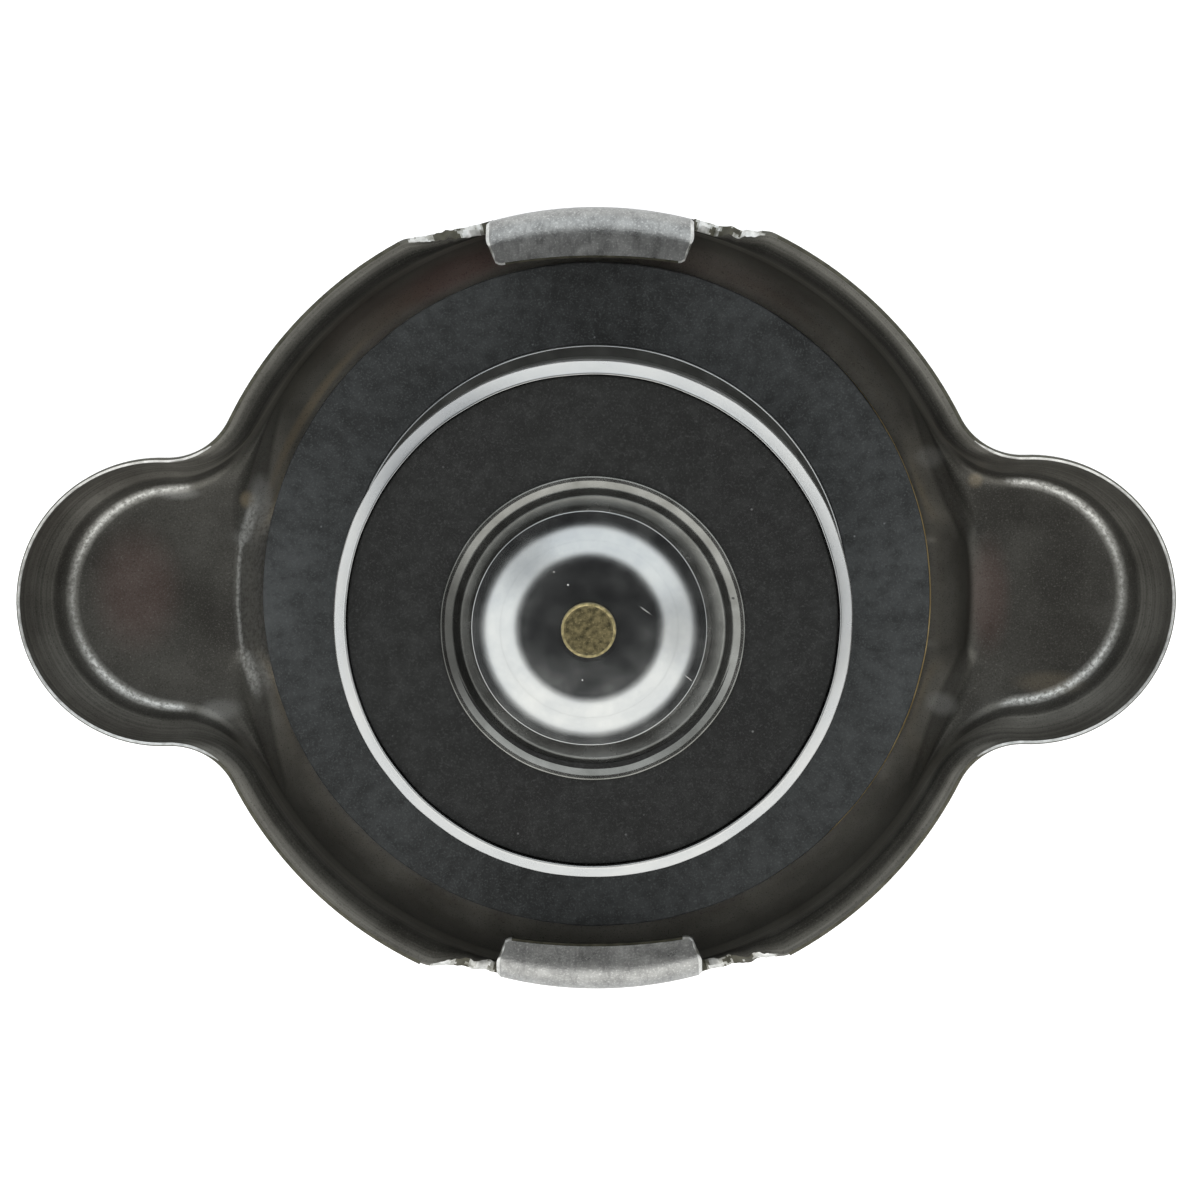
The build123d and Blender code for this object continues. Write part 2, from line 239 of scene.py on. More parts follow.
def softArc(tree, place, arc):
    # the same along an arc: radius, angle, half width (mm), half spread (degrees) and strength
    radius, angle, wide, spread, strength = arc
    axes = splitAxes(tree, place)
    far = vectorCalc(tree, "LENGTH", joinAxes(tree, axes["X"], axes["Y"]))
    turn = calc(tree, "ARCTAN2", axes["Y"], axes["X"])
    across = calc(tree, "MULTIPLY_ADD", far, 1000 / wide, -radius / wide)
    along = calc(tree, "MULTIPLY_ADD", turn, degreesInRadian, -angle)
    along = calc(tree, "WRAP", along, 180.0, -180.0)
    along = calc(tree, "MULTIPLY", along, 1 / spread)
    size = vectorCalc(tree, "LENGTH", joinAxes(tree, across, along))
    return addRamp(tree, size, 1.2, 0.3, 0.0, strength, soft=True)


# ---- materials

def metalLook(name, look):
    # cloudy tone, fine grain and hair scratches on one metal, then its own stains and arcs of painted shade
    material, tree, shader, place = startMaterial(name)
    cloud = addNoise(tree, place, look["cloudScale"], 5)
    grain = addNoise(tree, place, look.get("grainScale", 4200), 3, 0.7)
    streak = addNoise(tree, place, look.get("streakScale", 900), 2, 0.5, look.get("streakStretch", (1, 1, 0.1)))
    speckle = addRamp(tree, grain, *look.get("speckSpan", (0.55, 0.8)), 0.0, look.get("speck", 0.25))
    scratched = addRamp(tree, streak, 0.5, 0.32, 0.0, look.get("streakTone", 0.0))
    colour = blendColours(tree, addRamp(tree, cloud, *cloudSpan), look["dark"], look["light"])
    colour = blendColours(tree, speckle, colour, look.get("speckColour", look["light"]))
    colour = blendColours(tree, scratched, colour, scratchTint)
    metal = shader.inputs["Metallic"].default_value = look.get("metallic", 1.0)
    for *spot, stainAndShade in look.get("stainsAndPaintedLight", ()):
        share = softSpot(tree, place, spot)
        colour = blendColours(tree, share, colour, stainAndShade)
        metal = calc(tree, "SUBTRACT", metal, share, clamp=True)
        tree.links.new(metal, shader.inputs["Metallic"])
    # arcs of painted shade darken part of a ring
    for *arc, stainAndShade in look.get("paintedShadeArcs", ()):
        colour = blendColours(tree, softArc(tree, place, arc), colour, stainAndShade)
    bump = addBump(tree, grain, look.get("grainDepth", 0.2), 0.02)
    bump = addBump(tree, streak, look.get("streakDepth", 0.15), 0.01, bump)
    finishMaterial(tree, shader, look, cloud, colour, bump)
    return material


def rubberLook(name, look):
    # matt black rubber under a thin dusty film, with fine grain and small bright specks
    material, tree, shader, place = startMaterial(name)
    film = addNoise(tree, place, look["filmScale"], 6, 0.62)
    mottle = addNoise(tree, place, look["mottleScale"], 5, 0.65)
    fine = addNoise(tree, place, look["grainScale"], 3, 0.6)
    specks = addNode(tree, "TexVoronoi", {"Vector": place, "Scale": look["speckScale"]})
    chance = addNode(tree, "SeparateColor", {0: specks.outputs["Color"]}).outputs["Red"]
    spot = addRamp(tree, specks.outputs["Distance"], 0.02, 0.09, look["speckShare"], 0.0)
    spot = calc(tree, "MULTIPLY", spot, addRamp(tree, chance, 0.78, 0.95))
    # the film lies thicker towards the two ears
    aside = calc(tree, "ABSOLUTE", splitAxes(tree, place)["X"])
    thick = addRamp(tree, aside, 0.004, 0.022, look["dustMiddle"], 1.0)
    lie = calc(tree, "MULTIPLY", addRamp(tree, film, 0.3, 0.72), thick)
    colour = blendColours(tree, lie, look["black"], look["film"])
    for share, tint in (
        (addRamp(tree, mottle, 0.47, 0.72, 0.0, look["mottleShare"]), "mottle"),
        (addRamp(tree, mottle, 0.5, 0.3, 0.0, 0.6), "black"),
        (addRamp(tree, fine, 0.52, 0.72, 0.0, look["grainShare"]), "mottle"),
        (spot, "speck"),
    ):
        colour = blendColours(tree, share, colour, look[tint])
    shader.inputs["Specular IOR Level"].default_value = look["gloss"]
    bump = addBump(tree, fine, look["grainDepth"], 0.03)
    bump = addBump(tree, mottle, 0.2, 0.05, bump)
    finishMaterial(tree, shader, look, film, colour, bump)
    return material


shellSteelLook = dict(
    dark=(0.088, 0.084, 0.074), light=(0.15, 0.145, 0.129), metallic=0.7, rough=(0.34, 0.46),
    burnished=(0.72, 0.72, 0.69), fleck=(0.3, 0.29, 0.26), soot=(0.03, 0.028, 0.025),
    rust=(0.2, 0.09, 0.08), tan=(0.34, 0.28, 0.19),
    cloudScale=160, grainScale=5200, grainDepth=0.35, coarseScale=3400, pitScale=8200,
    ridge=0.26, ridgeScale=1.3, ridgeTurn=22,
    # spots have six values and arcs five, as softSpot and softArc take them
    stainsAndPaintedLight=(
        # reddish: on the two ear floors a painted reflection of the lens, elsewhere reddish marks
        ("rust", (-33.5, 0.6, 4.6, 3.2, 4.6, 0.2), (28.6, 0.0, 4.6, 1.6, 4.2, 0.2), (-17, 20, 3, 4, 4, 0.15)),
        ("rust", (25.7, 114, 1.3, 15, 0.5), (25.4, 72, 1.2, 22, 0.16)),
        # tan: painted gold reflections, a streak along the well's wall and spots near the necks and on the right ear's
        # wall
        ("tan", (-25.4, 7.1, 4.5, 0.6, 0.7, 0.75), (27.6, 8.4, 5.0, 0.6, 0.6, 0.3), (33.0, -6.4, 5.2, 2.6, 0.9, 0.22)),
        ("tan", (25.1, 147, 0.42, 17, 0.6), (25.6, 128, 1.0, 12, 0.14)),
        ("soot", (33.4, 1.7, 4.6, 2.6, 3.2, 0.4), (-27.6, -3.5, 4.6, 2.6, 3.4, 0.22)),
        ("soot", (27.4, -8.6, 3.0, 1.2, 1.6, 0.4)),
        # light spots near the ears' necks: painted highlights on the soft saddles
        ("burnished", (25.2, -8.1, 3.5, 1.2, 0.9, 0.3), (24.3, 10.0, 3.5, 1.1, 0.9, 0.22)),
        ("burnished", (-24.5, 7.4, 4.0, 0.9, 1.6, 0.32), (-30.4, 7.6, 5.4, 1.6, 0.5, 0.2)),
        ("burnished", (-27.5, -8.2, 5.0, 1.6, 0.8, 0.14)),
    ),
)


def shellSteel(name, look):
    # dark plated inside of the pressing: stains, painted reflections, faint ridges, painted light and shade by row,
    # painted highlights on the bends and a rubbed strip
    material, tree, shader, place = startMaterial(name)
    cloud = addNoise(tree, place, look["cloudScale"], 6, 0.6)
    grain = addNoise(tree, place, look["grainScale"], 3, 0.7)
    coarse = addNoise(tree, place, look["coarseScale"], 3, 0.7)
    pits = addNoise(tree, place, look["pitScale"], 2, 0.6)
    # point attributes: painted highlight on the bends with the rubbed strip, painted light and shade by row, and the
    # row number from the flare's foot
    highlitAndWorn, paintedTone, along = [
        addNode(tree, "Attribute", attribute_name=layer).outputs["Fac"]
        for layer in ("burnish", "paintedTone", "along")
    ]
    # faint ridges run along the walls: the noise changes from row to row and slowly round the cap
    turn = look["ridgeTurn"]
    drift = vectorCalc(tree, "MULTIPLY", place, (turn, turn, 0))
    lane = vectorCalc(tree, "ADD", drift, joinAxes(tree, z=along))
    ridges = addRamp(tree, addNoise(tree, lane, look["ridgeScale"], 3, 0.65), 0.36, 0.64, -1.0, 1.0)
    depth = addRamp(tree, along, -4.0, -2.0, 0.0, look["ridge"])
    paintedTone = calc(tree, "MULTIPLY", paintedTone, calc(tree, "MULTIPLY_ADD", ridges, depth, 1.0))
    colour = blendColours(tree, addRamp(tree, cloud, *cloudSpan), look["dark"], look["light"])
    # the painted tone scales the colour: walls, well, lips and upper ear walls painted lighter, ear floors and the
    # flare painted darker
    colour = blendColours(tree, paintedTone, (0, 0, 0), colour, clamp=False)
    for tint, *marks in look["stainsAndPaintedLight"]:
        for mark in marks:
            makeShare = softArc if len(mark) == 5 else softSpot
            colour = blendColours(tree, makeShare(tree, place, mark), colour, look[tint])
    # painted highlights on the bends and the rubbed strip, broken by coarse noise
    highlitAndRubbed = calc(tree, "MULTIPLY", highlitAndWorn, addRamp(tree, coarse, 0.36, 0.6, 0.25, 1.0))
    for share, tint in (
        (addRamp(tree, pits, 0.56, 0.7, 0.0, 0.5), "light"), (addRamp(tree, pits, 0.44, 0.3, 0.0, 0.5), "soot"),
        (addRamp(tree, grain, 0.6, 0.8, 0.0, 0.5), "fleck"), (highlitAndRubbed, "burnished"),
    ):
        colour = blendColours(tree, share, colour, look[tint])
    shader.inputs["Metallic"].default_value = look["metallic"]
    bump = addBump(tree, grain, look["grainDepth"], 0.02)
    bump = addBump(tree, coarse, addRamp(tree, highlitAndWorn, 0, 1, 0.05, 0.4), 0.03, bump)
    finishMaterial(tree, shader, look, cloud, colour, bump)
    return material


metals = dict(
    cutSteel=dict(
        dark=(0.16, 0.155, 0.125), light=(0.6, 0.6, 0.57), metallic=0.8, rough=(0.38, 0.55),
        cloudScale=1500, grainDepth=0.4,
    ),
    outerSteel=dict(
        dark=(0.3, 0.3, 0.295), light=(0.45, 0.45, 0.44), metallic=0.95, rough=(0.27, 0.34),
        cloudScale=800, grainScale=6500, grainDepth=1.1,
        speck=0.55, speckSpan=(0.52, 0.72), speckColour=(0.9, 0.9, 0.88),
        streakScale=2200, streakStretch=(1.4, 0.45, 1), streakDepth=0.8, streakTone=0.28,
    ),
    dullSteel=dict(
        dark=(0.145, 0.145, 0.135), light=(0.18, 0.18, 0.17), rough=(0.33, 0.4), cloudScale=500,
    ),
    burrSteel=dict(
        dark=(0.5, 0.5, 0.48), light=(0.88, 0.88, 0.86), metallic=0.75, rough=(0.34, 0.5),
        cloudScale=1800, grainDepth=0.4,
    ),
    darkEdge=dict(
        dark=(0.045, 0.043, 0.03), light=(0.1, 0.095, 0.07), metallic=0.5, rough=(0.45, 0.6),
        cloudScale=1500, grainDepth=0.3,
    ),
    brightSteel=dict(
        dark=(0.6, 0.61, 0.61), light=(0.7, 0.7, 0.685), rough=(0.24, 0.36),
        cloudScale=260, grainDepth=0.16,
        # two arcs of painted shade dim the cup's bright ring at 133 and 2 degrees
        paintedShadeArcs=((17.6, 133, 1.6, 26, 0.45, (0.2, 0.21, 0.23)), (17.6, 2, 1.6, 22, 0.3, (0.2, 0.21, 0.22))),
    ),
    domeSteel=dict(
        dark=(0.53, 0.545, 0.55), light=(0.63, 0.64, 0.63), rough=(0.17, 0.24),
        cloudScale=420, grainScale=5200, grainDepth=0.14,
        stainsAndPaintedLight=(  # two scratches and three specks
            (3.83, 0.84, 24, 0.5, 0.03, 0.55, -36, paleTint),
            (6.8, -4.0, 23.2, 0.36, 0.03, 0.5, -40, paleTint),
            (-1.51, 2.63, 24, 0.06, 0.06, 0.8, 0, paleTint),
            (-2.48, 3.53, 24, 0.05, 0.05, 0.6, 0, paleTint),
            (-0.55, -3.99, 24, 0.05, 0.05, 0.8, 0, paleTint),
        ),
    ),
    seatSteel=dict(
        dark=(0.21, 0.21, 0.195), light=(0.33, 0.33, 0.312), metallic=0.9, rough=(0.2, 0.3),
        cloudScale=500, grainScale=5200, grainDepth=0.35,
        stainsAndPaintedLight=((9.9, 1.53, 22.7, 0.13, 0.1, 0.9, 0, (0.01, 0.01, 0.01)),),
        # an arc of painted shade darkens the rim on its left side
        paintedShadeArcs=((10.0, 186, 1.3, 46, 0.72, (0.05, 0.05, 0.046)),),
    ),
    platedSteel=dict(dark=(0.4, 0.4, 0.39), light=(0.52, 0.52, 0.5), rough=(0.28, 0.4), cloudScale=300),
    springSteel=dict(dark=(0.3, 0.3, 0.3), light=(0.45, 0.45, 0.44), rough=(0.3, 0.45), cloudScale=500),
    springBrass=dict(dark=(0.4, 0.28, 0.12), light=(0.66, 0.5, 0.24), rough=(0.3, 0.45), cloudScale=400),
    stemBrass=dict(
        dark=(0.2, 0.17, 0.08), light=(0.6, 0.5, 0.26), metallic=0.8, rough=(0.36, 0.5),
        cloudScale=3600, grainScale=7000, grainDepth=0.4, speck=0.6, speckColour=(0.55, 0.46, 0.25),
    ),
    stemDull=dict(
        dark=(0.05, 0.043, 0.02), light=(0.2, 0.165, 0.08), metallic=0.6, rough=(0.4, 0.55),
        cloudScale=2600, grainScale=6000, grainDepth=0.5, speck=0.7, speckColour=(0.4, 0.33, 0.17),
    ),
)
rubbers = dict(
    upperRubber=dict(
        black=(0.012, 0.0125, 0.0125), film=(0.05, 0.0535, 0.0545), dustMiddle=0.62,
        mottle=(0.075, 0.08, 0.08), mottleShare=0.22, speck=(0.25, 0.26, 0.27), speckShare=0.6,
        filmScale=110, mottleScale=900, speckScale=900,
        grainScale=7000, grainDepth=0.4, grainShare=0.6, rough=(0.6, 0.78), gloss=0.3,
    ),
    lowerRubber=dict(
        black=(0.0085, 0.0085, 0.008), film=(0.017, 0.0175, 0.017), dustMiddle=0.7,
        mottle=(0.05, 0.051, 0.05), mottleShare=0.2, speck=(0.2, 0.2, 0.2), speckShare=0.55,
        filmScale=130, mottleScale=1000, speckScale=800,
        grainScale=7000, grainDepth=0.35, grainShare=0.45, rough=(0.6, 0.75), gloss=0.25,
    ),
)

finishes = {"shellSteel": shellSteel("shellSteel", shellSteelLook)}
finishes.update({name: metalLook(name, look) for name, look in metals.items()})
finishes.update({name: rubberLook(name, look) for name, look in rubbers.items()})
print("materials ready")


# ---- shell: one pressing with ears, lip, tabs and sheared edges

shell = dict(
    sheet=0.85,  # lengths in mm, angles in degrees
    hole=2.5, dimpleFloor=5.2, dimpleRadius=6.2, dimpleDepth=1.3, dimpleBend=0.5,
    crownCorner=26.1, crownBend=1.8, crownStep=3.2, skirtBase=27.2, skirt=27.5, skirtHeight=6.35,
    bodyFlare=2.11, bodyFlareAngle=84, bodyLipBack=5, lipFlare=2.6, earFlareAngle=70, creaseAngle=45,
    lipLine=0.27, lipRise=0.1, earLipHeight=8.72, earBow=0.22,
    earFloor=4.6, earCentre=31.4, earRadius=10.45, earFloorCentre=30.5, earFloorRadius=7.9,
    innerGrow=0.6, innerShift=0.3, rightUp=0.3, neck=5.0, earBend=1.5,
    leftStepIn=1.2, leftSlope=0.6, leftSpread=(13, 24), leftFade=(-0.978, -0.955), stepRound=0.6,
    tabHalf=7.45, tabInnerHalf=7.0, tabCorner=0.8, tabReach=24.8, tabArc=42.0,
    tabTop=9.85, tabBend=1.05, tabTurn=0.45, tabFoot=0.2, tabThinSide=0.14,
    # the torn edges beside the tabs: how far they reach left and right of the middle, and where lumps stand up
    cutLow=6.9, cutHigh=8.15, cutEnds={1: (13.0, 12.3), -1: (12.0, 13.4)}, tornFade=2.2,
    lumps={1: (-11.8, -8.6, 8.0, 10.9), -1: (-10.9, -8.3, 8.4, 11.6)}, lumpWidth=0.85,
    # columns round the pressing and rows up its walls
    earSteps=64, neckSteps=18, bodySteps=22, middleSteps=200, middleAngle=61.5,
    floorRows=(4.2, 3.0, 2.0), bendRows=8, wallRows=3,
    # rounds of smoothing at the ears' necks, its first row, the rows it leaves at the lip and its columns
    softRounds=60, softFrom=12, softTo=8, softColumns=6,
    # painted highlights on the bends, a rubbed strip, and painted light and shade as shares of the metal's colour
    wearTip=0.4, wearRight=1.1, wearLeft=0.98, wearWidth=0.9, wearRow=3.1,
    stripWear=0.55, stepWear=(0.4, 1.0, 0.9, 0.1, 0.0), stepTone=(1.8, 1.8, 1.4, 0.63, 0.63),
    gapTone=(1.2, 2.1), flareTone=0.6, earTone=0.63, wellTone=1.9, lipTone=1.55,
    wallTone=2.3, earWallTone=1.2, earTopTone=1.75,
)
shellFinishes = ("shellSteel", "cutSteel", "outerSteel", "burrSteel", "darkEdge")
insideFace, cutFace, outsideFace, burrFace, darkFace = range(5)
flareShares = [0.125 * k for k in range(1, 8)] + [0.985, 1.0]


def bendHighlight(look):
    # how strong each column's painted highlight on the floor bend is: most at the shoulders of an ear, least at its
    # tip
    steps = look.earSteps
    ear = [mix(look.wearTip, 1.0, smoothStep(abs(2 * k / steps - 1), 0.15, 0.5)) for k in range(steps)]
    neck = [1 - smoothStep(k / look.neckSteps, 0.0, 0.14) for k in range(look.neckSteps)]
    half = ear + neck + [0.0] * (2 * look.bodySteps + look.middleSteps) + neck[::-1]
    return [side * w for side in (look.wearRight, look.wearLeft) for w in half]


def flarePoint(look, inset, angle, flare):
    reach = flare - inset
    turn = radians(angle)
    return look.skirt + flare - reach * cos(turn), look.skirtHeight + reach * sin(turn)


def flareRow(look, inset, share, fullAngle=None):
    # one row of the body's flare and its painted tone (lighter wall and lip, darker flare), from the skirt's end (0)
    # to the lip (1)
    angle = look.bodyFlareAngle - (look.bodyLipBack if inset == 0 else 0)
    if fullAngle is not None:
        angle = fullAngle(angle)
    point = flarePoint(look, inset, angle * share, look.bodyFlare)
    paintedTone = mix(look.wallTone, look.flareTone, smoothStep(share, 0.05, 0.4))
    return point, mix(paintedTone, look.lipTone, smoothStep(share, 0.62, 0.86))


def outline(look, body, ear, middle, neck=None):
    # plan of body and ears at one level: the same columns at every level, anticlockwise from the right ear
    if neck is None:
        neck = look.neck + look.earRadius - ear
    far = body + neck
    x = (far ** 2 - (ear + neck) ** 2 + middle ** 2) / (2 * middle)
    y = sqrt(far ** 2 - x ** 2)
    earTurn, bodyTurn = atan2(y, x - middle), atan2(y, x)
    half = []
    for k in range(look.earSteps):
        a = mix(-earTurn, earTurn, k / look.earSteps)
        half.append((middle + ear * cos(a), ear * sin(a), 1.0))
    neckPoints = []
    for k in range(look.neckSteps + 1):
        share = k / look.neckSteps
        a = mix(earTurn, bodyTurn, share) + pi
        neckPoints.append((x + neck * cos(a), y + neck * sin(a), 1 - smoothStep(share, 0, 1)))
    half += neckPoints[:-1]
    edge = radians(look.middleAngle)
    stops = (bodyTurn, edge, pi - edge, pi - bodyTurn)
    for start, end, steps in zip(stops, stops[1:], (look.bodySteps, look.middleSteps, look.bodySteps)):
        for k in range(steps):
            a = mix(start, end, k / steps)
            half.append((body * cos(a), body * sin(a), 0.0))
    half += [(-px, py, s) for px, py, s in neckPoints[:0:-1]]
    return half + [(-px, -py, s) for px, py, s in half]


def levelRow(look, body, bodyHeight, ear, earHeight, middle, neck=None):
    plan = outline(look, body, ear, middle, neck)
    return [Vector((x, y, mix(bodyHeight, earHeight, share))) for x, y, share in plan]


def earShares(look):
    # 1 at an ear, 0 at the body, for each column
    return [share for _, _, share in outline(look, look.skirt, look.earRadius, look.earCentre)]


def softenCorners(look, rows):
    # where an ear's floor runs out into the well the pressing is a soft saddle, not a sharp point
    columns = len(rows[0])
    half = columns // 2
    weights = {}
    for c in range(look.earSteps, half):
        past = min(c - look.earSteps, half - c)  # columns past the ear's end
        w = smoothStep(past / look.neckSteps, 0.1, 0.6)
        if past >= look.neckSteps:
            w = 1 - (past - look.neckSteps) / look.softColumns
        if w > 0:
            weights[c] = weights[c + half] = w
    bottom, top = look.softFrom, len(rows) - look.softTo
    for _ in range(look.softRounds):
        fresh = {}
        for r in range(bottom, top):
            ramp = min(1.0, (r - bottom + 1) / 4, (top - r) / 5)
            for c, w in weights.items():
                around = (rows[r - 1][c] + rows[r + 1][c] + rows[r][c - 1] + rows[r][(c + 1) % columns]) / 4
                fresh[r, c] = rows[r][c].lerp(around, 0.8 * w * ramp)
        for (r, c), p in fresh.items():
            rows[r][c] = p


def bodyWall(look, inset, height):
    grow = (look.skirt - look.skirtBase) / (look.skirtHeight - look.earFloor)
    return look.skirtBase + inset + (height - look.earFloor) * grow


def leaningWall(look, inset, height):
    # an ear's wall leans out and away from the axis: its radius and middle at one height, and both slopes
    crease, creaseHeight = flarePoint(look, inset, look.creaseAngle, look.lipFlare)
    inner, innerHeight = flarePoint(look, 0, look.creaseAngle, look.lipFlare)
    lipOut = flarePoint(look, look.sheet, look.earFlareAngle, look.lipFlare)[0]
    floorRadius = look.earFloorRadius + (look.innerGrow if inset == 0 else 0)
    floorCentre = look.earFloorCentre - (look.innerShift if inset == 0 else 0)
    rise = innerHeight - look.earFloor
    slope = (look.earRadius - (lipOut - inner) - floorRadius) / rise
    creep = (look.earCentre - floorCentre) / rise
    below = creaseHeight - height
    return look.earRadius - (lipOut - crease) - below * slope, look.earCentre - below * creep, slope, creep


def floorBend(look, inset):
    # rows on the ear floors and round the bend into the wall, each with the strength of its painted highlight
    floor = look.earFloor - inset
    ear, middle, slope, creep = leaningWall(look, inset, floor)
    turn = pi / 2 - atan(slope)
    bend = look.earBend + inset
    reach = bend * tan(turn / 2)
    neck = look.neck + look.earRadius - ear
    rows = []
    for t in (*look.floorRows, reach + 0.35):
        rows.append((levelRow(look, bodyWall(look, inset, floor), floor, ear - t, floor, middle, neck + t), 0.0))
    for k in range(look.bendRows + 1):
        a = turn * k / look.bendRows
        t = reach - bend * sin(a)
        height = floor + bend * (1 - cos(a))
        push = creep * (height - floor)
        row = levelRow(look, bodyWall(look, inset, height), height, ear - t, height, middle + push, neck + t)
        rows.append((row, exp(-((k - look.wearRow) / look.wearWidth) ** 2)))
    return rows, height


def crownPath(look, inset):
    # section of the crown: the dimple round the rivet, the flat crown and its corner, up to the ear floors
    floor, base = look.earFloor - inset, look.sheet - inset
    path = roundedPath([
        (look.hole, look.dimpleDepth + base, 0),
        (look.dimpleFloor + base, look.dimpleDepth + base, look.dimpleBend + base),
        (look.dimpleRadius + base, base, look.dimpleBend + inset),
        (look.crownCorner + inset, base, look.crownBend + inset),
        (look.skirtBase + inset, floor, 0),
    ], False)
    path = [p for p in path if p.y <= floor]
    dense = []
    for p, q in zip(path, path[1:]):
        steps = max(1, int((q - p).length / look.crownStep))
        dense += [p.lerp(q, k / steps) for k in range(steps)]
    return dense, path[-1].x


def shellFace(look, inset):
    # rows of one face of the sheet, from the rivet hole out to the lip; inset is 0 inside, one sheet outside
    floor, base = look.earFloor - inset, look.sheet - inset
    skirtHeight, earTone = look.skirtHeight, look.earTone
    bendRows, bendTop = floorBend(look, inset)
    crown, topRadius = crownPath(look, inset)
    first = bendRows[0][0]
    columns = range(len(first))
    bendShine = bendHighlight(look)
    rows, highlightsAndWear, tones = [], [], []

    def add(row, rowTones, burnish=0.0, where=bendShine):
        rows.append(row)
        highlightsAndWear.append([burnish * share for share in where])
        tones.append(rowTones)

    # the left ear's floor reaches further in than the right one's, with a rubbed strip and a painted highlight along
    # the step at its end
    directions = [Vector((p.x, p.y)).normalized() for p in first]
    stepIns = [0.0 for _ in columns]
    if inset == 0:
        near, far = [radians(angle) for angle in look.leftSpread]
        spreads = [acos(max(-1.0, min(1.0, -d.x))) for d in directions]
        stepIns = [look.leftStepIn * (1 - smoothStep(spread, near, far)) for spread in spreads]
    leftStep = [1.0 - smoothStep(d.x, *look.leftFade) if d.x < 0 else 0.0 for d in directions]
    for p in crown:
        lean = 1 + look.leftSlope * (1 - smoothStep(p.y, base, floor))
        ring = []
        for d, step in zip(directions, stepIns):
            radius = p.x - step * smoothStep(p.x, 22, 26) * lean
            ring.append(Vector((d.x * radius, d.y * radius, p.y)))
        # painted light in the well, lighter towards its wall
        paintedTone = mix(*look.gapTone, smoothStep(p.x, 24.2, 26.6))
        add(ring, [paintedTone for _ in columns], look.stripWear * smoothStep(p.x, 22.5, 24.5), leftStep)
    corners, widths = [], []
    for d, outer, step in zip(directions, first, stepIns):
        radius = topRadius - step
        corners.append(Vector((d.x * radius, d.y * radius, floor)))
        widths.append(max(0.0, Vector((outer.x, outer.y)).length - radius))
    # the step's rounded edge: a painted highlight along it and painted light and shade
    stepLine = [0.04 + 0.96 * w for w in leftStep]
    for k, (burnish, paintedTone) in enumerate(zip(look.stepWear, look.stepTone)):
        share = k / 4
        ring = []
        for corner, d, width in zip(corners, directions, widths):
            cut = min(look.stepRound + inset * 0.4, 0.45 * width)
            below = corner - Vector((0, 0, cut))
            beside = corner + Vector((d.x, d.y, 0)) * cut
            ring.append(below.lerp(corner, share).lerp(corner.lerp(beside, share), share))
        add(ring, [mix(1.0, paintedTone, w) for w in leftStep], burnish, stepLine)
    # ear floor rows, painted darker
    last = rows[-1]
    for k in range(1, 6):
        add([p.lerp(q, k / 6) for p, q in zip(last, first)], [earTone for _ in columns])

    shares = earShares(look)
    for r, (row, burnish) in enumerate(bendRows):
        # painted light on the well's bend; ear floors painted darker except under the bend's painted highlight
        wellTone = mix(1.0, look.wellTone, smoothStep(r, 4, 10))
        highlightTone = earTone if burnish < 0.2 else 1.0
        add(row, [mix(wellTone, highlightTone, smoothStep(s, 0.0, 0.5)) for s in shares], burnish)

    # the ears' walls run nearly straight from the floor bend to the trimmed edge, a little hollow
    startEar, startMiddle = leaningWall(look, inset, bendTop)[:2]
    lipEar = look.earRadius - (look.lipLine if inset == 0 else 0.0)
    lipHeight = look.earLipHeight - inset * 1.25
    flareStart = 0.3  # share of an ear's wall that lies below the body's flare

    def wallRow(body, bodyHeight, t):
        bow = look.earBow * sin(pi * t)
        ear, middle = mix(startEar, lipEar, t) + bow, mix(startMiddle, look.earCentre, t)
        return levelRow(look, body, bodyHeight, ear, mix(bendTop, lipHeight, t) - bow * 0.3, middle)

    # painted light on the ears' walls, lighter on their +y side
    earTones = [mix(look.earWallTone, look.earTopTone, smoothStep(p.y, 2, 9)) for p in first]
    for k in range(1, look.wallRows + 1):
        share = k / look.wallRows
        height = max(bendTop, mix(bendTop, skirtHeight, share))
        row = wallRow(bodyWall(look, inset, height), height, share * flareStart)
        add(row, [mix(look.wallTone, t, s) for s, t in zip(shares, earTones)])
    joint = len(rows) - 1
    for share in flareShares:
        (body, bodyHeight), paintedTone = flareRow(look, inset, share)
        row = wallRow(body, bodyHeight, mix(flareStart, 1.0, share))
        add(row, [mix(paintedTone, t, s) for s, t in zip(shares, earTones)])
    for row in rows[len(crown):]:
        # the right ear's floor sits a little higher in the picture than the left one's
        lift = look.rightUp * (1 - smoothStep(row[0].z, look.earFloor + 0.5, look.earLipHeight - 1.5))
        for p in row:
            p.y += lift * smoothStep(p.x, 27.5, 31)
    if inset == 0:
        softenCorners(look, rows)
    return rows, highlightsAndWear, tones, joint


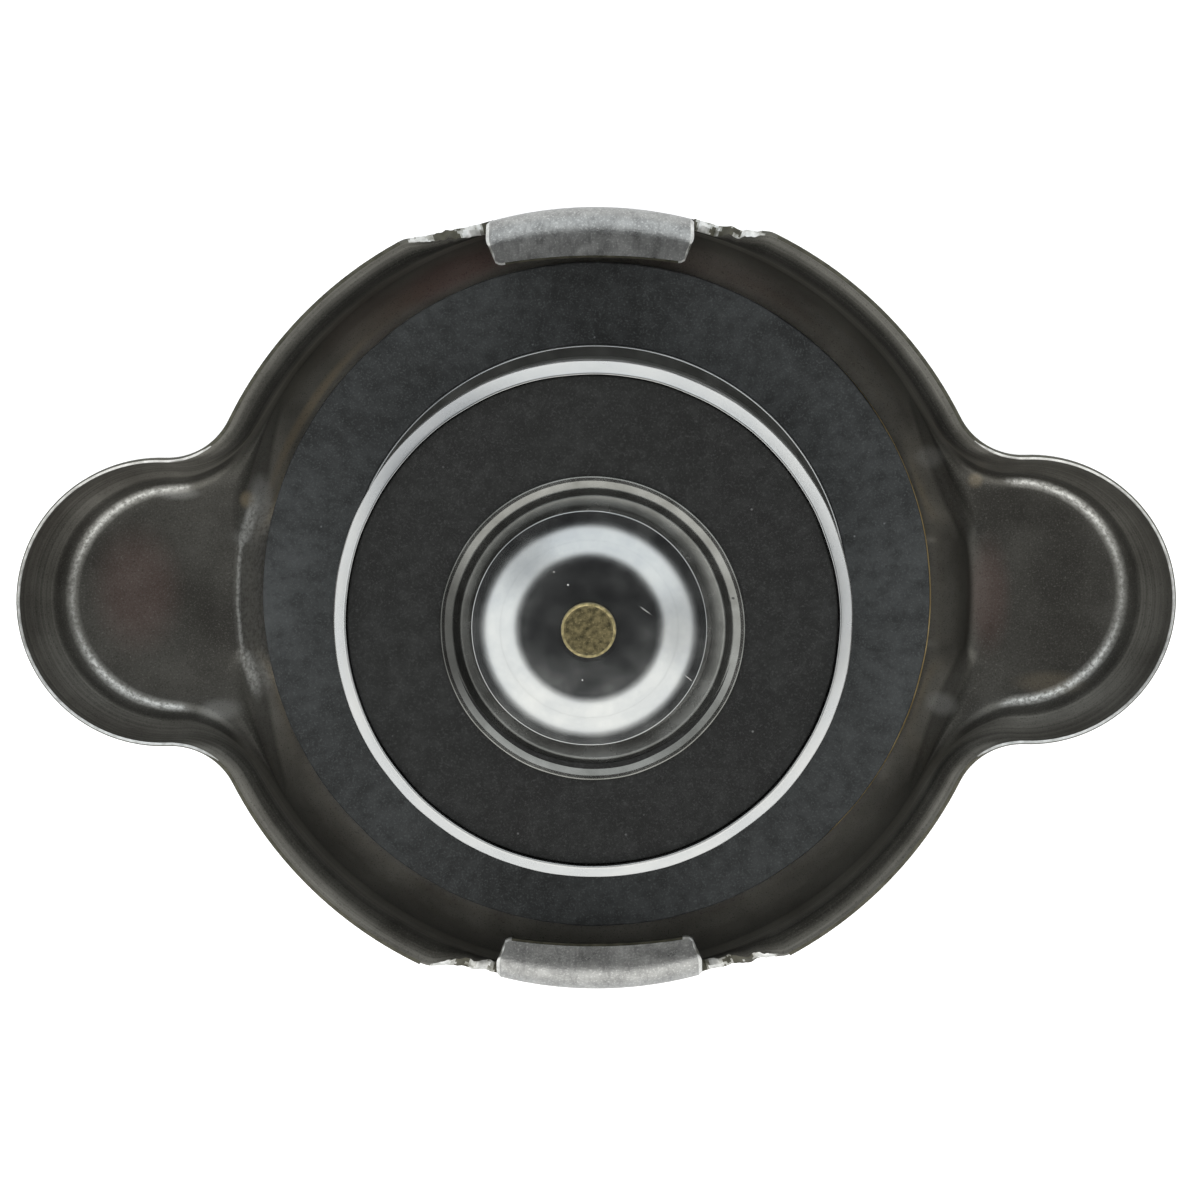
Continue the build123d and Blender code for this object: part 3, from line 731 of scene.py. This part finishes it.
def tornSection(look, direction, low, lowOut):
    # one cut through the torn skirt beside a tab: up the inside, over the crest and down the outside
    away = Vector((low.x, low.y)).normalized()
    far = abs(low.x)
    reach = look.cutEnds[direction][0 if low.x < 0 else 1]
    whole = smoothStep(far, reach - look.tornFade, reach)
    rise = mix(look.cutLow, look.cutHigh, smoothStep(far, look.tabHalf, reach - 0.6) ** 0.8)
    waves = noise.noise(Vector((low.x * 1.1, low.y, 3.0 + direction)))
    chips = noise.noise(Vector((low.x * 3.1, low.y, 9.0 + direction)))
    rise += waves * 0.34 + chips * 0.2
    torn = degrees(asin(max(0.02, min(0.97, (rise - look.skirtHeight) / look.bodyFlare))))

    def cutAngle(full):
        return mix(torn, full, whole)

    up, down, shades = [low], [lowOut], [look.wallTone]
    for share in flareShares:
        (radius, height), paintedTone = flareRow(look, 0, share, cutAngle)
        up.append(Vector((away.x * radius, away.y * radius, height)))
        shades.append(paintedTone)
        radius, height = flareRow(look, look.sheet, share, cutAngle)[0]
        down.append(Vector((away.x * radius, away.y * radius, height)))
    nearest = max(exp(-((low.x - middle) / look.lumpWidth) ** 2) for middle in look.lumps[direction])
    lump = nearest - 0.5 + 0.5 * noise.noise(Vector((low.x * 2.3, low.y * 2.3, 5.0)))
    crest = up[-1].lerp(down[-1], 0.5 + 0.2 * lump) + Vector((0, 0, (0.1 + 0.3 * lump) * (1 - whole)))
    shoulder = up[-1].lerp(crest, 0.35 - 0.2 * lump) + Vector((0, 0, 0.04 * (1 - whole)))
    section = up + [shoulder, crest, crest.lerp(down[-1], 0.6)] + down[::-1]
    return section, shades + [1.0] * (3 + len(down)), lump - 2 * smoothStep(whole, 0.8, 0.95)


def tabPath(look, wall, top, bend, tip):
    # up the wall, round the fold and in towards the tip
    path = roundedPath([(wall, look.skirtHeight - look.tabFoot, 0), (wall, top, bend), (tip, top, 0)], False, 8)
    return path[:-1] + [path[-2].lerp(path[-1], k / 4) for k in range(1, 4)] + path[-1:]


def tabSection(look, direction, share):
    # one cut through a folded tab; share runs from -1 at one side of it to 1 at the other
    thin = look.tabThinSide if abs(share) == 1 else 0.0
    out = look.skirt + look.sheet
    topOut, topIn = look.tabTop - thin, look.tabTop - look.sheet + thin
    xWall, xTip = share * look.tabHalf, share * look.tabInnerHalf
    corner, arc = look.tabCorner, look.tabArc
    past = max(0.0, abs(xTip) - (look.tabInnerHalf - corner))
    tip = look.tabReach - arc + sqrt(arc ** 2 - xTip ** 2)
    tip += corner - sqrt(max(0.0, corner ** 2 - past ** 2))
    outer = tabPath(look, out - thin, topOut, look.tabBend + look.sheet, tip + 0.16)
    inner = tabPath(look, out - look.sheet + thin, topIn, look.tabBend, tip + 0.12)
    ends = [Vector((tip, topOut - 0.14 + thin * 0.5)), Vector((tip, topIn + 0.12 - thin * 0.5))]
    section = []
    for y, z in outer + ends + inner[::-1]:
        # narrow and straight at the tip, as wide and round as the skirt at the wall
        along = smoothStep(y, tip, out - 1.0)
        x = mix(xTip, xWall, along)
        y -= (y - sqrt(max(0.0, y * y - x * x))) * along
        turned = Matrix.Rotation(radians(look.tabTurn), 2) @ Vector((x * direction, y * direction))
        section.append(Vector((turned.x, turned.y, z)))
    return section, len(outer) - 1


def makeShell(look):
    inside, insideHighlightsAndWear, insideTones, insideJoint = shellFace(look, 0.0)
    outside, outsideHighlightsAndWear, outsideTones, outsideJoint = shellFace(look, look.sheet)
    columns = len(inside[0])
    half = columns // 2
    shares = earShares(look)
    points, highlightsAndWear, tones, lanes, faces, finish = [], [], [], [], [], []
    seen = {}

    def vertex(p, burnish=0.0, paintedTone=1.0, lane=0.0):
        key = (round(p.x, 4), round(p.y, 4), round(p.z, 4))
        if key not in seen:
            seen[key] = len(points)
            points.append(tuple(p))
            highlightsAndWear.append(burnish)
            tones.append(paintedTone)
            lanes.append(lane)
        return seen[key]

    def face(corners, kind):
        corners = list(dict.fromkeys(corners))
        if len(corners) > 2:
            faces.append(corners)
            finish.append(kind)

    def closeEnd(section, flip):
        corners = [vertex(p) for p in section]
        face(corners[::-1] if flip else corners, cutFace)

    # columns whose lip is cut away beside the tabs
    firstMiddle = look.earSteps + look.neckSteps + look.bodySteps
    cutAway = []
    for c in range(columns):
        isMiddle = firstMiddle <= c % half < firstMiddle + look.middleSteps
        left, right = look.cutEnds[1 if c < half else -1]
        cutAway.append(isMiddle and -left < inside[insideJoint][c].x < right)
    neighbours = [(c, (c + 1) % columns) for c in range(columns)]

    for rows, shine, rowTones, joint, kind in (
        (inside, insideHighlightsAndWear, insideTones, insideJoint, insideFace),
        (outside, outsideHighlightsAndWear, outsideTones, outsideJoint, outsideFace),
    ):
        for r in range(len(rows) - 1):
            for c, n in neighbours:
                if r < joint or not (cutAway[c] or cutAway[n]):
                    quad = ((r, c), (r, n), (r + 1, n), (r + 1, c))
                    face([vertex(rows[i][j], shine[i][j], rowTones[i][j], i - joint) for i, j in quad], kind)
    for c, n in neighbours:
        face([vertex(p) for p in (inside[0][c], outside[0][c], outside[0][n], inside[0][n])], cutFace)

    # the trimmed edge: a rubbed line on top, then a dark corner and a plain upright cut
    def edgeRun(c):
        up, down, share = inside[-1][c], outside[-1][c], shares[c]
        away = Vector((down.x - up.x, down.y - up.y, 0))
        rise = Vector((0, 0, mix(0.01, look.lipRise, share)))
        top = up + away * (0.04 + 0.58 * smoothStep(share, 0.12, 0.6)) + rise
        return [vertex(p) for p in (up, top, Vector((down.x, down.y, up.z - 0.1)), down)]

    for c, n in neighbours:
        if not (cutAway[c] or cutAway[n]):
            a, b = edgeRun(c), edgeRun(n)
            for k, kind in enumerate((burrFace if shares[c] > 0.3 else insideFace, darkFace, darkFace)):
                face([a[k], b[k], b[k + 1], a[k + 1]], kind)
    for c, n in neighbours:
        if cutAway[c] != cutAway[n]:
            end = c if cutAway[n] else n
            up = [vertex(row[end]) for row in inside[insideJoint:]]
            down = [vertex(row[end]) for row in outside[:outsideJoint - 1:-1]]
            face(up + edgeRun(end)[1:3] + down, cutFace)

    # between lip and tab the sheet ends in a torn edge
    def tornStrip(cuts):
        crest = len(flareShares)
        for (a, aTones, lump), (b, bTones, _) in zip(cuts, cuts[1:]):
            for r in range(len(a) - 1):
                quad = ((a, aTones, r), (b, bTones, r), (b, bTones, r + 1), (a, aTones, r + 1))
                rough = lump + 0.5 * noise.noise(a[r] * 2.4)
                edge = burrFace if rough > 0.22 else cutFace if rough > -0.12 else darkFace
                kind = insideFace if r < crest else edge if r <= crest + 3 else outsideFace
                face([vertex(section[i], 0, shades[i], i) for section, shades, i in quad], kind)
        closeEnd(cuts[0][0], False)
        closeEnd(cuts[-1][0], True)

    # the tab folds inward; its two sides and its rounded corners are burred, its tip is dark
    def foldedTab(direction):
        across = [-1, -0.968] + [k / 30 - 1 for k in range(2, 59)] + [0.968, 1]
        cuts = [tabSection(look, direction, share) for share in across]
        sections, tipRow = [section for section, _ in cuts], cuts[0][1]
        for i, (a, b) in enumerate(zip(sections, sections[1:])):
            isSide, isCorner = i in (0, len(sections) - 2), abs(across[i]) > 0.89
            for r in range(len(a) - 1):
                atTip = tipRow <= r <= tipRow + 2
                kind = burrFace if isSide or (atTip and isCorner) else darkFace if atTip else outsideFace
                face([vertex(p) for p in (a[r], b[r], b[r + 1], a[r + 1])], kind)
        closeEnd(sections[0], direction != 1)
        closeEnd(sections[-1], direction == 1)

    for direction in (1, -1):
        run = [c for c in range(columns) if cutAway[c] and (c < half) == (direction == 1)]
        run = [run[0] - 1] + run + [run[-1] + 1]
        for side in (1, -1):
            cuts = []
            for c in run:
                low, lowOut = inside[insideJoint][c], outside[outsideJoint][c]
                if abs(low.x) >= look.tabHalf - 0.45 and (low.x > 0) == (side > 0):
                    cuts.append(tornSection(look, direction, low, lowOut))
            tornStrip(cuts)
        foldedTab(direction)

    piece = newPiece("shellPressing", points, faces, [finishes[name] for name in shellFinishes], finish)
    for name, values in (("burnish", highlightsAndWear), ("paintedTone", tones), ("along", lanes)):
        layer = piece.data.attributes.new(name, "FLOAT", "POINT")
        layer.data.foreach_set("value", values)
    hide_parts("shell")
    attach(piece, "shell")


makeShell(SimpleNamespace(**shell))  # the functions above read the dictionary by dots
print("shell made")


# ---- turned pieces on the centre rivet and in the valve: sections of (radius, height, bend radius)

turnedPieces = [
    dict(
        name="centreRivetTurned", node="centre_rivet", body="core", slot="plated_steel",
        finish="platedSteel", ring=False, segments=192,
        section=[
            (0, 0.17, 0), (4.4, 0.17, 0.55), (4.4, 1.27, 0), (2.4, 1.27, 0),
            (2.4, 6.03, 0), (3.9, 6.03, 0), (3.9, 7.33, 0.8), (0, 7.33, 0),
        ],
    ),
    dict(
        name="springDiscBrass", node="spring_disc", body="core", slot="spring_brass",
        finish="springBrass", uneven=0.02, offAxis=(0.13, 0.14),
        section=[(2.45, 2.58, 0), (24.35, 2.58, 0.05), (24.35, 2.93, 0.05), (2.45, 2.93, 0)],
    ),
    dict(
        name="upperGasketRubber", node="upper_gasket", body="core", slot="upper_rubber",
        finish="upperRubber", uneven=0.05,
        section=[
            (2.45, 2.93, 0), (24.33, 2.93, 0), (24.33, 4.53, 0.14), (20.5, 4.53, 0),
            (18.4, 4.53, 0.05), (18.4, 4.43, 0), (2.45, 4.43, 0),
        ],
    ),
    dict(
        name="gasketPlateSteel", node="gasket_plate", body="core", slot="bright_steel",
        finish="brightSteel", dullZone=(0, 18.24, 4.9, 5.0),
        section=[(2.45, 4.43, 0), (18.35, 4.43, 0.1), (18.35, 4.93, 0.12), (2.45, 4.93, 0)],
    ),
    dict(
        name="bellHousing", node="bell", body="core", slot="plated_steel",
        finish="platedSteel", segments=192, dullZone=(0, 17.4, 4.9, 17),
        section=[
            (2.45, 4.93, 0), (16.9, 4.93, 1.2), (16.9, 16.03, 0.15), (17.3, 16.03, 0.1),
            (17.3, 16.53, 0.1), (16.4, 16.53, 0.3), (16.4, 5.43, 0.7), (2.45, 5.43, 0),
        ],
    ),
    dict(
        name="valveCupSteel", node="valve_cup", body="pressure_valve", slot="bright_steel",
        finish="brightSteel", uneven=0.04, offAxis=(0.15, 0.02), dullZone=(17.8, 18.2, 15.5, 19.7),
        section=[
            (7.05, 19.83, 0), (17.55, 19.83, 0.2), (17.55, 16.0, 0.1), (17.0, 16.0, 0.1), (17.0, 15.55, 0.1),
            (18.06, 15.55, 0.4), (18.06, 19.65, 0), (18.06, 22.15, 0.6), (17.32, 23.0, 0.14), (17.14, 23.03, 0.06),
            (17.14, 20.28, 0), (7.05, 20.28, 0),
        ],
    ),
    dict(
        name="lowerGasketRubber", node="lower_gasket", body="pressure_valve", slot="lower_rubber",
        finish="lowerRubber", uneven=0.04, offAxis=(0.12, 0.02),
        section=[(10.0, 20.28, 0), (17.05, 20.28, 0), (17.05, 22.48, 0.15), (10.0, 22.48, 0)],
    ),
    dict(
        name="seatCupSteel", node="seat_cup", body="pressure_valve", slot="bright_steel",
        finish="seatSteel", uneven=0.03, offAxis=(0.13, 0.55),
        section=[
            (1.2, 17.48, 0), (7.0, 17.48, 0.3), (7.0, 19.43, 0), (7.6, 19.43, 0.1), (7.6, 19.83, 0), (7.0, 19.83, 0),
            (7.0, 21.48, 0), (9.7, 21.48, 0.25), (9.95, 22.25, 0.2), (10.6, 22.38, 0.04), (10.6, 22.68, 0.08),
            (10.5, 22.72, 0.04), (10.28, 22.72, 0.1), (9.74, 22.42, 0.5), (9.26, 21.78, 0.45), (8.3, 21.6, 0.3),
            (6.6, 21.88, 0.15), (6.6, 17.88, 0.1), (1.2, 17.88, 0),
        ],
    ),
    dict(
        name="vacuumSealRubber", node="vacuum_seal", body="pressure_valve", slot="lower_rubber",
        finish="lowerRubber", segments=192, offAxis=(0.0, 0.5),
        section=[(7.0, 21.88, 0), (7.95, 21.88, 0), (7.95, 22.38, 0.1), (7.0, 22.38, 0)],
    ),
    dict(
        name="vacuumDiscSteel", node="vacuum_disc", body="vacuum_valve", slot="bright_steel",
        finish="domeSteel", uneven=0.03, offAxis=(-0.08, 0.5),
        section=[
            (1.15, 23.73, 0), (5.0, 23.73, 2.0), (6.7, 22.38, 0.8), (8.2, 22.38, 0.05), (8.2, 22.95, 0.08),
            (6.86, 22.99, 2.7), (5.5, 24.02, 2.8), (2.2, 24.13, 1.0), (1.15, 24.13, 0),
        ],
    ),
    dict(
        name="vacuumStemBrass", node="vacuum_stem", body="vacuum_valve", slot="stem_brass",
        finish="stemBrass", dullFinish="stemDull", ring=False, segments=96,
        uneven=0.03, offAxis=(-0.1, 0.5), dullZone=(0, 1.74, 24.4, 24.7),
        section=[
            (0, 12.28, 0), (1.6, 12.28, 0.25), (1.6, 12.78, 0), (1.1, 12.78, 0), (1.1, 24.13, 0), (1.9, 24.13, 0),
            (1.9, 24.5, 0.1), (1.78, 24.61, 0.05), (1.72, 24.57, 0.02), (1.6, 24.5, 0.05), (1.4, 24.52, 0.1),
            (0, 24.54, 0),
        ],
    ),
]

for look in turnedPieces:
    piece = turnedPiece(look, [finishes[look["finish"]], finishes[look.get("dullFinish", "dullSteel")]])
    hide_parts(look["node"])
    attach(piece, look["body"])
print("turned pieces made")


# ---- springs: round wire coiled about the axis, each attached to its body

springs = [
    dict(
        name="pressureSpringCoil", node="pressure_spring", body="core", joint="valve_lift",
        radius=14.6, wire=2.0, turns=4.5, low=5.43, high=19.83, hold=5.43, keep=0.79,
        gap=0.05, offAxis=(0.0, 0.0), perTurn=56, wireSteps=18,
    ),
    dict(
        name="vacuumSpringCoil", node="vacuum_spring", body="pressure_valve", joint="vacuum_open",
        radius=2.625, wire=0.45, turns=4, low=13.28, high=17.48, hold=17.48, keep=0.63,
        gap=0.05, offAxis=(0.0, 0.5), perTurn=40, wireSteps=14,
    ),
]


def makeSpring(look, material):
    # round wire wound about the axis, the ends cut square
    half = look["wire"] / 2
    start = look["low"] + look["gap"] + half
    rise = look["high"] - look["gap"] - half - start
    steps = int(look["turns"] * look["perTurn"])
    ring = look["wireSteps"]
    aside, down = look["offAxis"]
    climb = rise / (2 * pi * look["turns"] * look["radius"])
    points, faces = [], []
    for i in range(steps + 1):
        a = 2 * pi * look["turns"] * i / steps
        out = Vector((cos(a), sin(a), 0))
        along = Vector((-sin(a), cos(a), climb)).normalized()
        up = out.cross(along)
        centre = out * look["radius"] + Vector((aside, -down, start + rise * i / steps))
        for k in range(ring):
            t = 2 * pi * k / ring
            points.append(tuple(centre + (out * cos(t) + up * sin(t)) * half))
    for i in range(steps):
        for k in range(ring):
            n = (k + 1) % ring
            faces.append((i * ring + k, (i + 1) * ring + k, (i + 1) * ring + n, i * ring + n))
    faces.append(tuple(range(ring)))
    faces.append(tuple(steps * ring + k for k in reversed(range(ring))))
    return newPiece(look["name"], points, faces, [material])


for look in springs:
    coil = makeSpring(look, finishes["springSteel"])
    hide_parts(look["node"])
    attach(coil, look["body"])
    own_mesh(coil)
print("springs made")


# ---- hidden parts keep their solids and take a finish

hiddenFinishes = dict(thrust_washer="platedSteel", rivet_washer="platedSteel", spring_keeper="stemBrass")

for node, finishName in hiddenFinishes.items():
    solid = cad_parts[node]
    solid.data.materials.clear()
    solid.data.materials.append(finishes[finishName])
print("hidden parts finished")


# ---- bench, light and camera

bench = dict(size=3.0, drop=0.00002, grey=0.82, rough=0.7, lift=0.55)  # metres; just below the crown


def makeBench(look):
    size = look["size"] / 2
    mesh = bpy.data.meshes.new("bench")
    corners = [(x * size, y * size, -look["drop"]) for x, y in ((-1, -1), (1, -1), (1, 1), (-1, 1))]
    mesh.from_pydata(corners, [], [(0, 1, 2, 3)])
    floor = addObject("bench", mesh)
    material, tree, shader, _ = startMaterial("benchWhite")
    shader.inputs["Base Color"].default_value = (look["grey"], look["grey"], look["grey"], 1)
    shader.inputs["Roughness"].default_value = look["rough"]
    shader.inputs["Emission Color"].default_value = (1, 1, 1, 1)
    seen = addNode(tree, "LightPath").outputs["Is Camera Ray"]
    tree.links.new(calc(tree, "MULTIPLY", seen, look["lift"]), shader.inputs["Emission Strength"])
    mesh.materials.append(material)


makeBench(bench)

studio = dict(
    opening=0.012, openingEdge=(0.98, 0.81), tent=1.2, nearAndFar=(1.14, 0.93),
    horizon=(0.3, 0.75), horizonEdge=(0.36, 0.04),
    cool=(0.93, 0.975, 1.0), warm=(1.0, 1.0, 0.975),
    gaps=((-4, 32, 0.66), (139, 26, 0.66)),  # angle, half spread (degrees) and how much light is left
    fill=1.45, fillSoftness=30,
)


def makeStudio(look):
    # a light tent all round with a dark opening overhead, two seams between its panels and a dimmer foot
    world = bpy.data.worlds.new("lightTent")
    bpy.context.scene.world = world
    world.use_nodes = True
    tree = world.node_tree
    sky = tree.nodes["Background"]
    axes = splitAxes(tree, addNode(tree, "TexCoord").outputs["Generated"])
    light = addRamp(tree, axes["Z"], *look["openingEdge"], look["opening"], look["tent"], soft=True)
    light = calc(tree, "MULTIPLY", light, addRamp(tree, axes["Y"], -0.9, 0.9, *look["nearAndFar"], soft=True))
    foot = addRamp(tree, calc(tree, "ABSOLUTE", axes["Y"]), 0.5, 1.0, *look["horizon"], soft=True)
    low = addRamp(tree, axes["Z"], *look["horizonEdge"], soft=True)
    dimmed = addNode(tree, "Mix", {"Factor": low, 2: 1.0, 3: foot}).outputs[0]
    light = calc(tree, "MULTIPLY", light, dimmed)
    flat = vectorCalc(tree, "NORMALIZE", joinAxes(tree, axes["X"], axes["Y"]))
    for angle, spread, depth in look["gaps"]:
        a = radians(angle)
        towards = vectorCalc(tree, "DOT_PRODUCT", flat, (cos(a), sin(a), 0))
        seam = addRamp(tree, towards, cos(radians(spread)), 1.0, 1.0, depth, soft=True)
        light = calc(tree, "MULTIPLY", light, seam)
    seen = addNode(tree, "LightPath").outputs["Is Camera Ray"]
    light = addNode(tree, "Mix", {"Factor": seen, 2: light, 3: 1.0}).outputs[0]
    tree.links.new(light, sky.inputs["Strength"])
    tint = blendColours(tree, addRamp(tree, axes["Y"], -0.7, 0.7), look["warm"], look["cool"])
    tint = blendColours(tree, seen, tint, (1, 1, 1))
    tree.links.new(tint, sky.inputs["Color"])
    data = bpy.data.lights.new("overheadFill", "SUN")
    data.energy = look["fill"]
    data.angle = radians(look["fillSoftness"])
    lamp = addObject("overheadFill", data)
    lamp.location = (0, 0, 1)
    lamp.visible_glossy = False


makeStudio(studio)

view = dict(place=(7.97, 34.95, 375.76), pan=1.185, tilt=-5.42, roll=-0.272, lens=153.39)


def makeCamera(look):
    data = bpy.data.cameras.new("bench camera")
    data.lens = look["lens"]
    data.sensor_width = 36
    data.clip_start = 0.01
    data.clip_end = 20
    camera = addObject("benchCamera", data)
    pan, tilt, roll = [
        Matrix.Rotation(radians(look[key]), 4, axis) for key, axis in (("pan", "Y"), ("tilt", "X"), ("roll", "Z"))
    ]
    camera.matrix_world = Matrix.Translation(Vector(look["place"]) * mm) @ (pan @ tilt @ roll)
    bpy.context.scene.camera = camera


makeCamera(view)
bpy.context.scene.view_settings.view_transform = "Standard"
print("bench, light and camera set")
